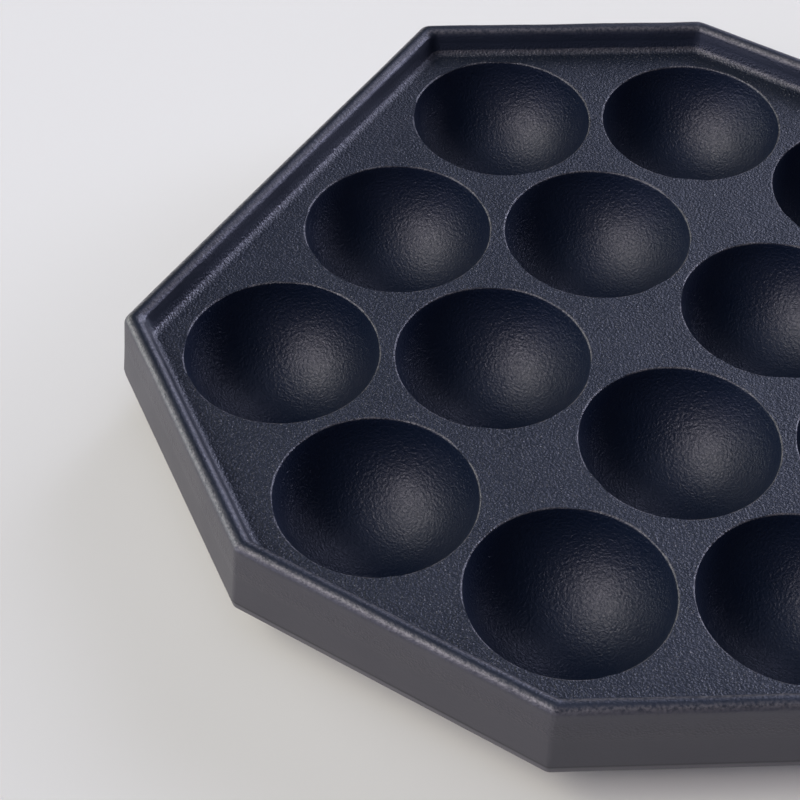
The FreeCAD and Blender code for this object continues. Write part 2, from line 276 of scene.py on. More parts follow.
# %% [markdown]
# ## The wells
# A well is nearly half a ball. Its mouth isn't sharp: a small arc leads from the flat
# plate into the ball, and that arc is the thin bright line round each well. The wells
# stand in columns of 3, 4, 4 and 3. Every column is centred, so the wells of the outer
# columns stand half a step along from those of the inner ones.

# %% Places and profile of a well
def well_centres():
    """Centres column by column: an equal step along a column, each column centred."""
    outer = MIDDLE_STEP / 2 + COLUMN_STEP
    inner = MIDDLE_STEP / 2
    centres = []
    for x, count in [(-outer, 3), (-inner, 4), (inner, 4), (outer, 3)]:
        for index in range(count):
            centres.append((x, (index - (count - 1) / 2) * WELL_PITCH))
    return np.array(centres)


CENTRES = well_centres()
BALL_RADIUS = (WELL_RADIUS ** 2 + WELL_DEPTH ** 2) / (2 * WELL_DEPTH)
BALL_HEIGHT = BALL_RADIUS - WELL_DEPTH
WELL_TURNS = 84
WELL_ROWS = 24
MOUTH_ROWS = 6


def well_profile():
    """Radius and height from the plate into the well's lowest point.

    The mouth's arc touches the plate from below and the ball from inside, so its
    centre is one arc radius under the plate and that much outside the ball.
    """
    drop = BALL_HEIGHT + MOUTH_ROUNDING
    across = math.sqrt((BALL_RADIUS + MOUTH_ROUNDING) ** 2 - drop ** 2)
    last = math.atan2(drop, -across)
    angle = np.linspace(math.pi / 2, last, MOUTH_ROWS)
    mouth = np.stack([across + MOUTH_ROUNDING * np.cos(angle),
                      -MOUTH_ROUNDING + MOUTH_ROUNDING * np.sin(angle)], axis=1)
    begin = math.atan2(mouth[-1, 1] - BALL_HEIGHT, mouth[-1, 0])
    down = np.linspace(begin, -math.pi / 2, WELL_ROWS + 1)[1:]
    ball = np.stack([BALL_RADIUS * np.cos(down),
                     BALL_HEIGHT + BALL_RADIUS * np.sin(down)], axis=1)
    return np.concatenate([mouth, ball])


def well_surface(centre):
    """Surface of revolution of the well's profile about its centre line."""
    path = well_profile()
    angle = np.arange(WELL_TURNS) * 2 * math.pi / WELL_TURNS
    x = centre[0] + path[:, :1] * np.cos(angle)
    y = centre[1] + path[:, :1] * np.sin(angle)
    z = np.repeat(path[:, 1:], WELL_TURNS, axis=1)
    points = np.stack([x, y, z], axis=-1)
    return points, grid_faces(len(path), WELL_TURNS, True)


# %% [markdown]
# ## The flat of the plate and the underside
# What is left of the plate is a flat sheet with fourteen round holes, whose edges
# already exist: the inner ring of the rim and the mouths of the wells. A triangulation
# that is held to those edges fills it. Underneath, the bowls and the roof of the skirt
# melt into each other as cast iron does, so the height there is a soft minimum of all
# of them, cut off flat at the feet.

# %% Flat plate
# The triangulation's setting for triangles inside the edges only.
INSIDE_EDGES = 1
SAME_POINT = 1e-6


def ring_edges(count, start):
    """Pairs of neighbouring point numbers round a closed ring."""
    index = np.arange(count)
    return np.stack([start + index, start + (index + 1) % count], axis=1).tolist()


def triangulate(points, edges):
    """Points and triangles of a flat sheet that keeps to the given edges."""
    made = delaunay_2d_cdt([Vector(p) for p in points], edges, [], INSIDE_EDGES, SAME_POINT)
    return np.array([tuple(p) for p in made[0]]), np.array(made[2])


def flat_plate(rim_ring, mouths):
    """Triangles between the rim's inner ring and the mouths, all at plate height."""
    rings = [rim_ring] + mouths
    points = np.concatenate(rings)
    edges = []
    start = 0
    for ring in rings:
        edges += ring_edges(len(ring), start)
        start += len(ring)
    flat, faces = triangulate(points, edges)
    middle = flat[faces].mean(axis=1)
    gap = np.linalg.norm(middle[:, None] - CENTRES[None], axis=2).min(axis=1)
    faces = faces[gap > WELL_RADIUS * 0.999]
    return np.column_stack([flat, np.zeros(len(flat))]), faces


# %% Underside
FOOT_FLOOR = 3.0
BLEND = 1.6
UNDER_STEP = 1.9
# Rows of an even net of triangles are this share of a step apart.
ROW_SHARE = 0.866
FOOT_TURNS = 30
NET_TO_FOOT = 2.0
NET_TO_EDGE = 0.8


def under_height(x, y, roof):
    """Height of the casting's underside.

    A soft minimum, -w log(sum(exp(-h / w))), of the roof's height and of the outside
    of each ball, then no lower than the plane of the feet.
    """
    outside = BALL_RADIUS + BOWL_WALL
    square = (x[..., None] - CENTRES[:, 0]) ** 2 + (y[..., None] - CENTRES[:, 1]) ** 2
    depth = np.sqrt(np.maximum(outside ** 2 - square, 0))
    bowls = np.where(square < outside ** 2, BALL_HEIGHT - depth, BALL_HEIGHT)
    heights = np.concatenate([bowls, np.broadcast_to(roof, x.shape)[..., None]], axis=-1)
    lowest = heights.min(axis=-1, keepdims=True)
    weight = np.exp(-(heights - lowest) / BLEND).sum(axis=-1)
    soft = lowest[..., 0] - BLEND * np.log(weight)
    return np.maximum(soft, -WELL_DEPTH - FOOT_FLOOR)


def underside(ring):
    """Triangulated sheet of the underside, inside the given ring."""
    half = np.abs(ring[:, :2]).max(axis=0)
    across = np.arange(-half[0], half[0], UNDER_STEP)
    along = np.arange(-half[1], half[1], UNDER_STEP * ROW_SHARE)
    x, y = np.meshgrid(across, along)
    x = x + (np.arange(len(along)) % 2)[:, None] * UNDER_STEP / 2
    field = np.stack([x.ravel(), y.ravel()], axis=1)
    foot = foot_radius()
    turns = np.arange(FOOT_TURNS) * 2 * math.pi / FOOT_TURNS
    radii = np.array([foot * 0.5, foot - 0.25, foot, foot + 0.25, foot + 1.2])
    spokes = np.stack([np.cos(turns), np.sin(turns)], axis=1)
    rings = CENTRES[:, None, None] + radii[:, None, None] * spokes
    gap = np.linalg.norm(field[:, None] - CENTRES[None], axis=2).min(axis=1)
    field = field[gap > foot + NET_TO_FOOT]
    field = field[inside_by(field) > ROOF_EDGE + NET_TO_EDGE]
    points = np.concatenate([ring[:, :2], CENTRES, rings.reshape(-1, 2), field])
    flat, faces = triangulate(points, ring_edges(len(ring), 0))
    height = under_height(flat[:, 0], flat[:, 1], -PLATE_THICKNESS)
    return np.column_stack([flat, height]), faces


def foot_radius():
    """Radius at which the outside of the ball meets the plane of the feet."""
    outside = BALL_RADIUS + BOWL_WALL
    drop = BALL_HEIGHT + WELL_DEPTH + FOOT_FLOOR
    return math.sqrt(outside ** 2 - drop ** 2)


def inside_by(points):
    """How far points lie inside the outline: the least distance to its eight sides."""
    along = np.roll(OUTLINE, -1, axis=0) - OUTLINE
    along /= np.linalg.norm(along, axis=1, keepdims=True)
    normal = np.stack([along[:, 1], -along[:, 0]], axis=1)
    reach = (normal * OUTLINE).sum(axis=1)
    return (reach - points @ normal.T).min(axis=1)


# %% [markdown]
# ## The waviness of a casting
# A sand-cast edge is never ruled. It wanders by a tenth of a millimetre or so, over
# lengths of a few centimetres, and the highlight on it wanders with it. A sum of sine
# waves round the outline with whole numbers of turns closes on itself, so the first
# and the last point agree. It only ever moves the surface inwards or down, never out.

# %% Waviness round the outline
rng = np.random.default_rng(14)


def wander(turns, count):
    """Values from 0 to 1 round a loop: a sum of sine waves of whole numbers of turns."""
    share = np.arange(count) / count * 2 * math.pi
    phase = rng.uniform(0, 2 * math.pi, len(turns))
    size = rng.uniform(0.5, 1.0, len(turns)) / np.sqrt(np.array(turns))
    waves = size[:, None] * np.sin(np.array(turns)[:, None] * share + phase[:, None])
    total = waves.sum(axis=0)
    return (total - total.min()) / (total.max() - total.min())


# %% [markdown]
# ## The cast root of the handle
# The handle's root grows out of the skirt as a flat oval and becomes round where the
# ferrule seats on it. It is a row of ovals along the handle's axis, which rises at 12
# degrees. The first ovals open out like a trumpet, so the root meets the skirt in a
# small hollow, as a pattern maker would leave it.

# %% Build the root
HANDLE_RISE = 12.0
HANDLE_START_HEIGHT = -3.6
ROOT_HALF_WIDTH = 27.0
ROOT_HALF_HEIGHT = 6.0
ROOT_SINK = 2.5
ROOT_FILLET = 1.5
ROOT_BURIED = 1.2
ROOT_TURNS = 128
FILLET_ROWS = 9
BODY_ROWS = 31
EDGE_ROWS = 6
STATION_STEPS = 8
BOSS_RADIUS = 11.5
BOSS_LENGTH = 38.0
BOSS_EDGE = 1.0
ROOT_STATIONS = [-ROOT_SINK, 0.3 * BOSS_LENGTH, 0.65 * BOSS_LENGTH, BOSS_LENGTH]
ROOT_WIDTHS = [ROOT_HALF_WIDTH, 18.0, 12.4, BOSS_RADIUS]
ROOT_HEIGHTS = [ROOT_HALF_HEIGHT, 7.6, 11.0, BOSS_RADIUS]

handle_start = np.array([HALF_WIDTH + (RIM_HEIGHT - HANDLE_START_HEIGHT) * tan(SKIRT_DRAFT),
                         0.0, HANDLE_START_HEIGHT])
handle_axis = np.array([cos(HANDLE_RISE), 0.0, sin(HANDLE_RISE)])
handle_up = np.array([-sin(HANDLE_RISE), 0.0, cos(HANDLE_RISE)])
handle_side = np.array([0.0, 1.0, 0.0])


def smooth_values(at, stations, values):
    """Smooth curve through the values: cubic pieces that share their slopes."""
    stations = np.asarray(stations, float)
    values = np.asarray(values, float)
    slope = np.gradient(values, stations)
    index = np.clip(np.searchsorted(stations, at, side="right") - 1, 0, len(stations) - 2)
    width = stations[index + 1] - stations[index]
    t = (at - stations[index]) / width
    rise = values[index + 1] - values[index]
    a = slope[index] * width - rise
    b = rise - slope[index + 1] * width
    return values[index] * (1 - t) + values[index + 1] * t + t * (1 - t) * (a * (1 - t) + b * t)


def root_points(station, turn, outset):
    """Points of the root: an oval across the handle's axis at each station."""
    width = smooth_values(station, ROOT_STATIONS, ROOT_WIDTHS) + outset
    height = smooth_values(station, ROOT_STATIONS, ROOT_HEIGHTS) + outset
    across = (width * np.cos(turn))[..., None] * handle_side
    upward = (height * np.sin(turn))[..., None] * handle_up
    return handle_start + station[..., None] * handle_axis + across + upward


def off_the_wall(points):
    """Distance of points from the skirt's face on the handle's side."""
    lean = (points[..., 2] - RIM_HEIGHT) * tan(SKIRT_DRAFT)
    return (points[..., 0] - HALF_WIDTH + lean) * cos(SKIRT_DRAFT)


def handle_root():
    """Rows that hug the skirt's face, then rows that run out to the boss's end.

    Near the face the oval grows by r - sqrt(r^2 - (r - d)^2), a quarter circle of
    radius r seen against the distance d from the face. The station of each point is
    found by stepping until its distance from the face is right.
    """
    turn = np.arange(ROOT_TURNS) * 2 * math.pi / ROOT_TURNS
    swing = np.linspace(0, math.pi / 2, FILLET_ROWS)
    gap = ROOT_FILLET * (1 - np.cos(swing))
    outset = ROOT_FILLET * (1 - np.sin(swing))
    gap = np.concatenate([[-ROOT_BURIED], gap])[:, None]
    outset = np.concatenate([[ROOT_FILLET], outset])[:, None]
    turns = np.broadcast_to(turn, (len(gap), len(turn)))
    station = np.zeros(turns.shape)
    for step in range(STATION_STEPS):
        station += gap - off_the_wall(root_points(station, turns, outset))
    hugging = root_points(station, turns, outset)
    share = np.linspace(0, 1, BODY_ROWS)[1:, None]
    straight = station[-1] + (BOSS_LENGTH - BOSS_EDGE - station[-1]) * share
    body = root_points(straight, np.broadcast_to(turn, straight.shape), 0.0)
    round_off = np.linspace(0, math.pi / 2, EDGE_ROWS)[1:, None]
    last = BOSS_LENGTH - BOSS_EDGE + BOSS_EDGE * np.sin(round_off) + 0 * turn
    edge = root_points(last, np.broadcast_to(turn, last.shape),
                       BOSS_EDGE * (np.cos(round_off) - 1))
    middle = np.broadcast_to(edge[-1].mean(axis=0), edge[-1:].shape)
    inner = np.broadcast_to(hugging[0].mean(axis=0), hugging[:1].shape)
    points = np.concatenate([inner, hugging, body, edge, middle])
    return points, grid_faces(len(points), len(turn), True)


# %% [markdown]
# ## The casting in one skin
# The rings of the rim are the profile's rows carried round the outline. Rows on the
# roof also follow the bowls, so that the last ring meets the underside exactly.

# %% Build the casting
EDGE_WANDER = 0.22
WANDER_BOTTOM = -10.0
WANDER_FADE = 6.0
FOOT_FADE = 3.0
ROOF_ROWS = 11
ROOF_REACH = 1.0


def rim_surface():
    """The profile's rows carried round the outline.

    A row's points move in by the waviness and, above the plate, down by it too. It
    fades to nothing just past the tray's foot and 10 mm under the plate. Rows on the
    roof take the bowls' height.
    """
    rings = outline(profile[:, 0], profile[:, 2])
    count = rings.shape[1]
    on_edge = np.clip((profile[:, 1] - WANDER_BOTTOM) / WANDER_FADE, 0, 1)
    on_edge *= np.clip((tray_wall_foot + FOOT_FADE / 2 - profile[:, 0]) / FOOT_FADE, 0, 1)
    aside = EDGE_WANDER * wander([5, 9, 14, 23, 31, 44], count)
    down = EDGE_WANDER * wander([4, 7, 13, 19, 29, 41, 53], count)
    middle = rings.mean(axis=1, keepdims=True)
    inward = middle - rings
    inward /= np.linalg.norm(inward, axis=-1, keepdims=True)
    rings = rings + inward * (on_edge[:, None] * aside)[..., None]
    height = np.repeat(profile[:, 1:2], count, axis=1)
    height = height - on_edge[:, None] * down * np.clip(height / RIM_HEIGHT, 0, 1)
    roof_rows = np.arange(len(profile)) >= len(profile) - ROOF_ROWS
    melted = under_height(rings[..., 0], rings[..., 1], height)
    on_roof = roof_rows[:, None] & (height > -PLATE_THICKNESS - ROOF_REACH)
    height = np.where(on_roof, melted, height)
    points = np.concatenate([rings, height[..., None]], axis=-1)
    return points, grid_faces(points.shape[0], points.shape[1], True)


rim_points, rim_faces = rim_surface()
well_parts = [well_surface(centre) for centre in CENTRES]
mouth_rings = [points[0, :, :2] for points, faces in well_parts]
plate_part = flat_plate(rim_points[0, :, :2], mouth_rings)
under_part = underside(rim_points[-1])
under_part[0][:rim_points.shape[1]] = rim_points[-1]
parts = [(rim_points, rim_faces), plate_part, under_part, handle_root()] + well_parts
parts = [(np.asarray(points) * MM, faces) for points, faces in parts]
casting = mesh_object("casting_skin", parts)
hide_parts("pan_casting")
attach(casting, "pan")

# %% [markdown]
# ## Where each finish belongs
# One casting has several skins, and a material can't know where it is on the object. So
# five numbers are kept on every point: whether it lies in a well, how strongly the
# mould's sand shows, whether it belongs to the outside, whose lighter grey is partly barer
# iron and partly painted reflection of the pale table, whether it is on the skirt's face,
# and how much an edge shows wear and painted highlight. Each comes from the distance in
# from the outline, the height and the distance from the nearest well, and the material reads them.

# %% Numbers on every point
BALL_SLACK = 0.4
SAND_FADE = 3.0
LEAST_SAND = 0.10
CROWN_BOTTOM = 4.4
CROWN_SAND = 0.35
BARE_AND_REFLECTION_TOP = 5.7
BARE_AND_REFLECTION_FADE = 1.6
SKIRT_REACH = 0.6
ROOT_FADE = 1.5
WEAR_AND_HIGHLIGHT_BOTTOM = 3.6
FOOT_WEAR_AND_HIGHLIGHT = 0.6
MOUTH_WEAR_AND_HIGHLIGHT = 0.8

where = np.empty(len(casting.data.vertices) * 3)
casting.data.vertices.foreach_get("co", where)
where = where.reshape(-1, 3) / MM
up = where[:, 2]
gap = np.linalg.norm(where[:, None, :2] - CENTRES[None], axis=2).min(axis=1)
from_ball = np.hypot(gap, up - BALL_HEIGHT)
in_well = (np.abs(from_ball - BALL_RADIUS) < BALL_SLACK) & (up < -BALL_SLACK)
in_well &= up > -WELL_DEPTH - BALL_SLACK
# The sand shows fully on the plate and fades to a tenth within 3 mm of height.
pebbled = np.clip(1 - np.abs(up) / SAND_FADE, LEAST_SAND, 1.0)
pebbled[in_well] = 0.0
# The outside starts under the crown of the rim and takes in the skirt and the handle's root; its
# lighter grey is partly barer iron and partly painted reflection of the pale table.
beside = -inside_by(where[:, :2])
outer = np.clip((BARE_AND_REFLECTION_TOP - up) / BARE_AND_REFLECTION_FADE, 0, 1)
outer[(beside < -SKIRT_REACH) & (up > -1.0)] = 0.0
outer = np.maximum(outer, np.clip((beside - SKIRT_REACH) / ROOT_FADE, 0, 1))
outer[in_well] = 0.0
on_crown = (up > CROWN_BOTTOM) & (beside < 0.3)
pebbled[on_crown] = CROWN_SAND
side = np.clip((beside + 1.5) / 1.0, 0, 1)
# Hands, picks and cloths rub the two edges of the crown, the tray's foot and the mouths, and these
# bright lines are also painted pale as highlights.
shoulder = np.exp(-((beside + 0.85) / 0.55) ** 2) + np.exp(-((beside + 3.1) / 0.5) ** 2)
wear_and_highlight = np.where(up > WEAR_AND_HIGHLIGHT_BOTTOM, shoulder, 0.0)
foot = np.exp(-((beside + tray_wall_foot) / 0.7) ** 2)
wear_and_highlight = np.maximum(wear_and_highlight, np.where((up > 0.02) & (up < 1.2), FOOT_WEAR_AND_HIGHLIGHT * foot, 0.0))
at_mouth = (up < -0.004) & (up > -0.30) & (np.abs(gap - WELL_RADIUS) < 0.9)
wear_and_highlight[at_mouth] = MOUTH_WEAR_AND_HIGHLIGHT
marks = {"well": in_well, "pebbled": pebbled, "outer": outer, "side": side, "wear_and_highlight": wear_and_highlight}
for name, values in marks.items():
    mark = casting.data.attributes.new(name, "FLOAT", "POINT")
    mark.data.foreach_set("value", values.astype(np.float32))
print("points inside wells", int(in_well.sum()))

# %% [markdown]
# ## A flat plate that shades flat
# The plate is one sheet of long triangles, and a smooth shade would smear the tilt of
# the rounded edges across them. Every point that lies on the plate gets a normal that
# points straight up, so only the real curves look curved.

# %% Normals of the plate
normals = np.empty(len(casting.data.vertices) * 3)
casting.data.vertices.foreach_get("normal", normals)
normals = normals.reshape(-1, 3)
on_plate = (np.abs(up) < 1e-3) & (normals[:, 2] > 0.5)
normals[on_plate] = (0, 0, 1)
casting.data.normals_split_custom_set_from_vertices(normals.tolist())
print("points on the flat plate", int(on_plate.sum()))

# %% [markdown]
# ## Building materials from nodes
# Each finish is a small graph of nodes. A few helpers keep the graphs readable: they add
# a node with its settings, read the place on the object in millimetres, do a step of
# arithmetic, mix colours and turn a pattern into relief. Numbers that are the same
# everywhere are set on the shader's own sockets.

# %% Node helpers
def new_material(name):
    """Empty material with one shader joined to its output."""
    material = bpy.data.materials.new(name)
    material.use_nodes = True
    nodes = material.node_tree.nodes
    nodes.clear()
    output = nodes.new("ShaderNodeOutputMaterial")
    shader = nodes.new("ShaderNodeBsdfPrincipled")
    material.node_tree.links.new(shader.outputs[0], output.inputs["Surface"])
    return material, material.node_tree, shader


def feed(tree, socket, value):
    """Join another node's output to the socket, or set a plain value on it."""
    if isinstance(value, bpy.types.NodeSocket):
        tree.links.new(value, socket)
    else:
        socket.default_value = value


def add(tree, kind, inputs=None, **settings):
    """New node; inputs are numbers, colours or other nodes' outputs, by socket name."""
    node = tree.nodes.new("ShaderNode" + kind)
    for key, value in settings.items():
        setattr(node, key, value)
    for key, value in (inputs or {}).items():
        feed(tree, node.inputs[key], value)
    return node


def place_in_mm(tree, turn=(0, 0, 0), stretch=(1, 1, 1), shift=(0, 0, 0)):
    """Place on the object in millimetres, moved, turned and stretched by a Mapping."""
    place = add(tree, "TexCoord").outputs["Object"]
    scale = tuple(1000 * s for s in stretch)
    return add(tree, "Mapping", {"Vector": place, "Rotation": turn, "Scale": scale,
                                 "Location": shift}, vector_type="POINT").outputs[0]


def noise(tree, place, size, detail=2.0, rough=0.5, twist=0.0):
    """Smooth random pattern whose lumps are about the given size in millimetres."""
    return add(tree, "TexNoise", {"Vector": place, "Scale": 0.5 / size, "Detail": detail,
                                  "Roughness": rough, "Distortion": twist}).outputs["Fac"]


def level(tree, value, low, high, to_low=0.0, to_high=1.0, smooth=False):
    """Value carried from one range to another, and held at its ends."""
    kind = "SMOOTHSTEP" if smooth else "LINEAR"
    node = add(tree, "MapRange", {"Value": value, "From Min": low, "From Max": high,
                                  "To Min": to_low, "To Max": to_high},
               interpolation_type=kind)
    return node.outputs[0]


def maths(tree, operation, first, second=0.0):
    """One step of arithmetic on numbers or other nodes' outputs."""
    node = add(tree, "Math", operation=operation)
    for socket, value in zip(node.inputs, (first, second)):
        feed(tree, socket, value)
    return node.outputs[0]


def relief(tree, height, depth, under=None):
    """Bump of the given depth in millimetres, over another bump if there is one."""
    inputs = {"Height": height, "Distance": depth * MM, "Strength": 1.0}
    if under is not None:
        inputs["Normal"] = under
    return add(tree, "Bump", inputs).outputs[0]


def blend_colours(tree, share, first, second):
    """Mix of two colours: the first at share 0, the second at share 1."""
    node = add(tree, "Mix", data_type="RGBA")
    for number, value in ((0, share), (6, first), (7, second)):
        feed(tree, node.inputs[number], value)
    return node.outputs[2]


def tinted(tree, colour, share, most, other):
    """Colour moved towards another one by the share times the most it may move."""
    return blend_colours(tree, maths(tree, "MULTIPLY", share, most), colour, other)


# %% [markdown]
# ## Baked black cast iron
# The iron is almost black with a cold blue cast, and what one sees is mostly the
# studio in its half-matt finish. The skin of the plate is pebbled by the sand of the
# mould: random sand and round cells half a millimetre wide are added together, and a
# few grains are painted pale as glints. The wells were finished smoother and have a fine leathery
# wrinkle, so they hold a soft highlight. The skirt is painted a lighter grey, partly barer iron
# and partly painted reflection of the pale table. The band under the line where the two halves
# of the mould met is painted lighter still as a painted reflection, and a line of painted shade
# runs under that step. Edges are painted pale in patches, not evenly: partly wear, partly painted
# highlights.

# %% Cast iron
def cast_iron():
    """Finish of the casting, from the five numbers on its points."""
    material, tree, shader = new_material("black_cast_iron")
    place = place_in_mm(tree)
    well = add(tree, "Attribute", attribute_name="well").outputs["Fac"]
    pebbled = add(tree, "Attribute", attribute_name="pebbled").outputs["Fac"]
    sand = noise(tree, place, 0.34, 3.0, 0.6)
    cell = add(tree, "TexVoronoi", {"Vector": place, "Scale": 1.9}, feature="F1")
    pebble = level(tree, cell.outputs["Distance"], 0.05, 0.65, 1.0, 0.0)
    grain = maths(tree, "ADD", maths(tree, "MULTIPLY", sand, 0.75),
                  maths(tree, "MULTIPLY", pebble, 0.25))
    wrinkle = noise(tree, place, 0.31, 3.0, 0.6, 0.35)
    swells = noise(tree, place, 7.0, 1.0, 0.5)
    bump = relief(tree, swells, 0.30)
    bump = relief(tree, maths(tree, "MULTIPLY", grain, pebbled), 0.34, bump)
    bump = relief(tree, maths(tree, "MULTIPLY", wrinkle, well), 0.22, bump)
    tree.links.new(bump, shader.inputs["Normal"])
    patch = noise(tree, place, 9.0, 3.0, 0.6)
    dark = (0.0024, 0.0055, 0.0125, 1)
    pale = (0.0044, 0.0082, 0.0170, 1)
    colour = blend_colours(tree, level(tree, patch, 0.35, 0.65), dark, pale)
    colour = tinted(tree, colour, well, 0.7, (0.0016, 0.0060, 0.0200, 1))
    outer = add(tree, "Attribute", attribute_name="outer").outputs["Fac"]
    height = add(tree, "SeparateXYZ", {"Vector": place}).outputs["Z"]
    side = add(tree, "Attribute", attribute_name="side").outputs["Fac"]
    # A dark line along the parting line: painted shade under the step where the skirt draws in.
    painted_shade_line = maths(tree, "ABSOLUTE", maths(tree, "ADD", height, SKIRT_DEPTH - PARTING_HEIGHT))
    painted_shade_line = maths(tree, "MULTIPLY", level(tree, painted_shade_line, 0.45, 0.10), side)
    # The band under the parting line is painted lighter still: a painted reflection of the pale
    # table.
    painted_reflection_band = level(tree, height, PARTING_HEIGHT - SKIRT_DEPTH, PARTING_HEIGHT - SKIRT_DEPTH - 0.4)
    bare_and_reflection = blend_colours(tree, painted_reflection_band, (0.046, 0.044, 0.049, 1), (0.076, 0.073, 0.080, 1))
    bare_and_reflection = tinted(tree, bare_and_reflection, painted_shade_line, 0.7, (0.012, 0.012, 0.014, 1))
    # On the outside of the rim, skirt and root the colour turns lighter grey: partly barer iron,
    # partly painted reflection of the pale table.
    colour = blend_colours(tree, outer, colour, bare_and_reflection)
    # Pale grains on the pebbled plate: painted glints.
    glint_speck = level(tree, noise(tree, place, 0.20, 1.0), 0.66, 0.74)
    glint_speck = maths(tree, "MULTIPLY", glint_speck, level(tree, pebbled, 0.6, 1.0))
    glint_speck = maths(tree, "MULTIPLY", glint_speck, level(tree, outer, 0.3, 0.0))
    colour = tinted(tree, colour, glint_speck, 0.8, (0.20, 0.20, 0.21, 1))
    # Pale colour along the crown's edges, the tray's foot and the mouths: partly real wear, partly
    # painted highlights on their bright lines.
    wear_and_highlight = add(tree, "Attribute", attribute_name="wear_and_highlight").outputs["Fac"]
    rubbed_and_highlight = level(tree, noise(tree, place, 0.35, 2.0, 0.7), 0.36, 0.60, 0.15, 1.0)
    rubbed_and_highlight = maths(tree, "MULTIPLY", rubbed_and_highlight, wear_and_highlight)
    colour = tinted(tree, colour, rubbed_and_highlight, 0.8, (0.115, 0.112, 0.122, 1))
    tree.links.new(colour, shader.inputs["Base Color"])
    rough = level(tree, patch, 0.3, 0.7, 0.36, 0.43)
    rough = maths(tree, "ADD", rough, maths(tree, "MULTIPLY", outer, 0.08))
    rough = maths(tree, "SUBTRACT", rough, maths(tree, "MULTIPLY", well, 0.05))
    rough = maths(tree, "SUBTRACT", rough, maths(tree, "MULTIPLY", rubbed_and_highlight, 0.10))
    tree.links.new(rough, shader.inputs["Roughness"])
    shader.inputs["IOR"].default_value = 1.54
    shader.inputs["Specular Tint"].default_value = (0.82, 0.85, 1.0, 1)
    return material


casting.data.materials.append(cast_iron())

# %% [markdown]
# ## Steel pieces and the wooden grip
# The ferrule and cap are turned steel with fine rings left by the tool. The rod,
# washer, eye and ring are zinc plated and a little duller. The grip is an oiled
# hardwood, turned between centres, so its grain runs along the handle and opens into
# long ovals where the profile cuts through the rings.

# %% Steel and wood
TILT = (0, math.radians(HANDLE_RISE), 0)


def turned_steel(name, colour, rough, ring_depth):
    """Metal with tool rings round the handle's axis and faint cloudy dullness."""
    material, tree, shader = new_material(name)
    place = place_in_mm(tree, TILT)
    rings = noise(tree, place_in_mm(tree, TILT, (1, 0.02, 0.02)), 0.12, 2.0, 0.6)
    cloud = noise(tree, place, 5.0, 3.0, 0.6)
    bump = relief(tree, rings, ring_depth)
    tree.links.new(bump, shader.inputs["Normal"])
    dull = tuple(0.82 * c for c in colour)
    mixed = blend_colours(tree, level(tree, cloud, 0.3, 0.7), (*colour, 1), (*dull, 1))
    tree.links.new(mixed, shader.inputs["Base Color"])
    tree.links.new(level(tree, cloud, 0.3, 0.7, rough, rough + 0.12),
                   shader.inputs["Roughness"])
    shader.inputs["Metallic"].default_value = 1.0
    return material


def oiled_wood():
    """Growth rings from the distance to an offset axis, bent by a slow pattern."""
    material, tree, shader = new_material("oiled_hardwood")
    lengthwise = place_in_mm(tree, TILT, (0.06, 1, 1), (0, 9, 14))
    bend = noise(tree, lengthwise, 6.0, 2.0, 0.5)
    parts = add(tree, "SeparateXYZ", {"Vector": lengthwise})
    across = maths(tree, "POWER", parts.outputs["Y"], 2.0)
    upward = maths(tree, "POWER", parts.outputs["Z"], 2.0)
    radius = maths(tree, "SQRT", maths(tree, "ADD", across, upward))
    radius = maths(tree, "ADD", radius, maths(tree, "MULTIPLY", bend, 3.5))
    turns = maths(tree, "FRACT", maths(tree, "DIVIDE", radius, 2.1))
    late = level(tree, turns, 0.35, 1.0, 0.0, 1.0, True)
    fibre = noise(tree, place_in_mm(tree, TILT, (0.05, 1, 1)), 0.22, 2.0, 0.6)
    pores = level(tree, noise(tree, place_in_mm(tree, TILT, (0.12, 1, 1)), 0.16, 1.0), 0.62, 0.72)
    early = (0.46, 0.255, 0.105, 1)
    ring = (0.24, 0.108, 0.038, 1)
    colour = tinted(tree, early, late, 0.7, ring)
    colour = blend_colours(tree, level(tree, fibre, 0.35, 0.7, 0.0, 0.35), colour, ring)
    colour = tinted(tree, colour, pores, 0.6, (0.09, 0.04, 0.015, 1))
    tree.links.new(colour, shader.inputs["Base Color"])
    bump = relief(tree, fibre, 0.03)
    bump = relief(tree, pores, -0.05, bump)
    tree.links.new(bump, shader.inputs["Normal"])
    tree.links.new(level(tree, late, 0, 1, 0.42, 0.34), shader.inputs["Roughness"])
    return material


turned = turned_steel("turned_steel", (0.62, 0.62, 0.63), 0.24, 0.012)
plated = turned_steel("zinc_plate", (0.52, 0.53, 0.56), 0.34, 0.004)
finishes = {"handle_ferrule": turned, "end_cap": turned, "wooden_grip": oiled_wood(),
            "tie_rod": plated, "spring_washer": plated, "eye_nut": plated,
            "hanging_ring": plated}
for name, material in finishes.items():
    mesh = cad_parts[name].data
    mesh.materials.clear()
    mesh.materials.append(material)

# %% [markdown]
# ## Camera
# The view is that of the picture to match: the camera stands off one corner of the
# plate, 47 degrees up, close enough that the handle's side falls outside the picture.
# Its place and lens come from fitting a camera to the well mouths and the rim's sides.

# %% Camera
CAMERA_PLACE = Vector((0.1283, -0.3071, 0.3312))
CAMERA_AIM = Vector((-0.0323, -0.0450, 0.0))
CAMERA_ROLL = 1.069
LENS = 96.77

camera_data = bpy.data.cameras.new("photo_camera")
camera_data.lens = LENS
camera_data.sensor_width = 36.0
camera = bpy.data.objects.new("photo_camera", camera_data)
bpy.context.scene.collection.objects.link(camera)
aim = (CAMERA_AIM - CAMERA_PLACE).to_track_quat("-Z", "Y").to_matrix()
camera.matrix_world = (Matrix.Translation(CAMERA_PLACE)
                       @ (aim @ Matrix.Rotation(math.radians(CAMERA_ROLL), 3, "Z")).to_4x4())
bpy.context.scene.camera = camera

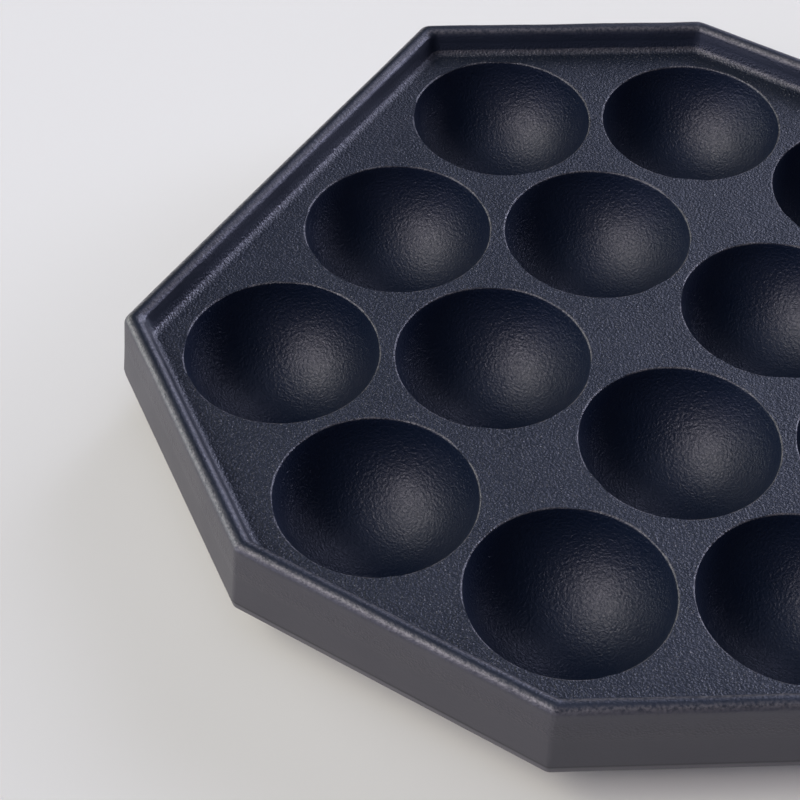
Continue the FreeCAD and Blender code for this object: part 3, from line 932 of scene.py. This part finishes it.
# %% [markdown]
# ## Table and light
# The pan stands on a plain pale table, which lies a hair under its feet so that the two
# faces don't share one plane. The studio is a dark room with a few large soft lights,
# each a soft patch of the sky. The ones high on the left make the glow in each well, the
# low ones on the left light the skirt, and those behind the pan light the rim, the flat
# of the plate and the far walls of the wells. The camera itself sees a plain pale wall in
# place of the dark room, but reflections show the dark room.

# %% Table
TABLE_GAP = 0.02 * MM
TABLE_SIZE = 6.0
TABLE_COLOUR = (0.700, 0.716, 0.702, 1)
bpy.ops.mesh.primitive_plane_add(size=TABLE_SIZE, location=(0, 0, TABLE_HEIGHT - TABLE_GAP))
table = bpy.context.object
table.name = "table_top"
paper, _, shader = new_material("pale_table")
shader.inputs["Base Color"].default_value = TABLE_COLOUR
shader.inputs["Roughness"].default_value = 0.9
shader.inputs["Specular IOR Level"].default_value = 0.2
table.data.materials.append(paper)

# %% Patches of light
# Columns: azimuth and elevation in degrees, sharpness, colour. All rows but the last come
# from a program: a least-squares fit of this scene's render to the picture chose them
# among 32 candidates and gave their colours. The colours of rows 1, 2, 4 and 5 were then
# changed, and the last row, the light from below, is given on its own.
WALL_COLOUR = (0.80, 0.80, 0.79, 1)
PATCHES = [
    (215, 50, 60, (7.90, 7.05, 5.60)),
    (250, 45, 60, (12.20, 10.90, 10.60)),
    (200, 45, 20, (1.38, 1.46, 1.50)),
    (170, 10, 40, (5.20, 5.15, 4.30)),
    (195, 10, 40, (6.95, 7.00, 6.20)),
    (220, 10, 40, (4.74, 4.62, 5.12)),
    (245, 10, 40, (1.78, 1.78, 2.68)),
    (55, 10, 40, (4.61, 4.61, 6.92)),
    (65, 10, 40, (10.52, 10.62, 11.77)),
    (90, 30, 40, (5.83, 5.96, 7.51)),
    (0, 90, 8, (0.45, 0.50, 0.68)),
    (300, 15, 12, (0.40, 0.40, 0.59)),
    (0, -90, 1, (0.45, 0.45, 0.45)),
]

world = bpy.data.worlds.new("studio")
bpy.context.scene.world = world
world.use_nodes = True
sky = world.node_tree
sky.nodes.clear()
facing = add(sky, "TexCoord").outputs["Generated"]


def patch_of_light(azimuth, elevation, sharpness, colour):
    """Colour times the cosine of the angle from the patch's middle, to a power."""
    middle = (cos(elevation) * cos(azimuth), cos(elevation) * sin(azimuth), sin(elevation))
    towards = add(sky, "VectorMath", {0: facing, 1: middle}, operation="DOT_PRODUCT")
    share = maths(sky, "MAXIMUM", towards.outputs["Value"], 0.0)
    share = maths(sky, "POWER", share, sharpness)
    return add(sky, "VectorMath", {0: colour, "Scale": share}, operation="SCALE").outputs[0]


total = add(sky, "VectorMath", operation="ADD").outputs[0]
for row in PATCHES:
    total = add(sky, "VectorMath", {0: total, 1: patch_of_light(*row)}, operation="ADD").outputs[0]
room = add(sky, "Background", {"Color": total}).outputs[0]
wall = add(sky, "Background", {"Color": WALL_COLOUR}).outputs[0]
seen = add(sky, "LightPath").outputs["Is Camera Ray"]
both = add(sky, "MixShader", {0: seen, 1: room, 2: wall}).outputs[0]
add(sky, "OutputWorld", {"Surface": both})
print("patches of light", len(PATCHES))

# %% [markdown]
# ## Finish
# Colours are shown through the plain Standard view transform. The visual model may not
# be larger than the imported one.

# %% Finish
bpy.context.scene.view_settings.view_transform = "Standard"
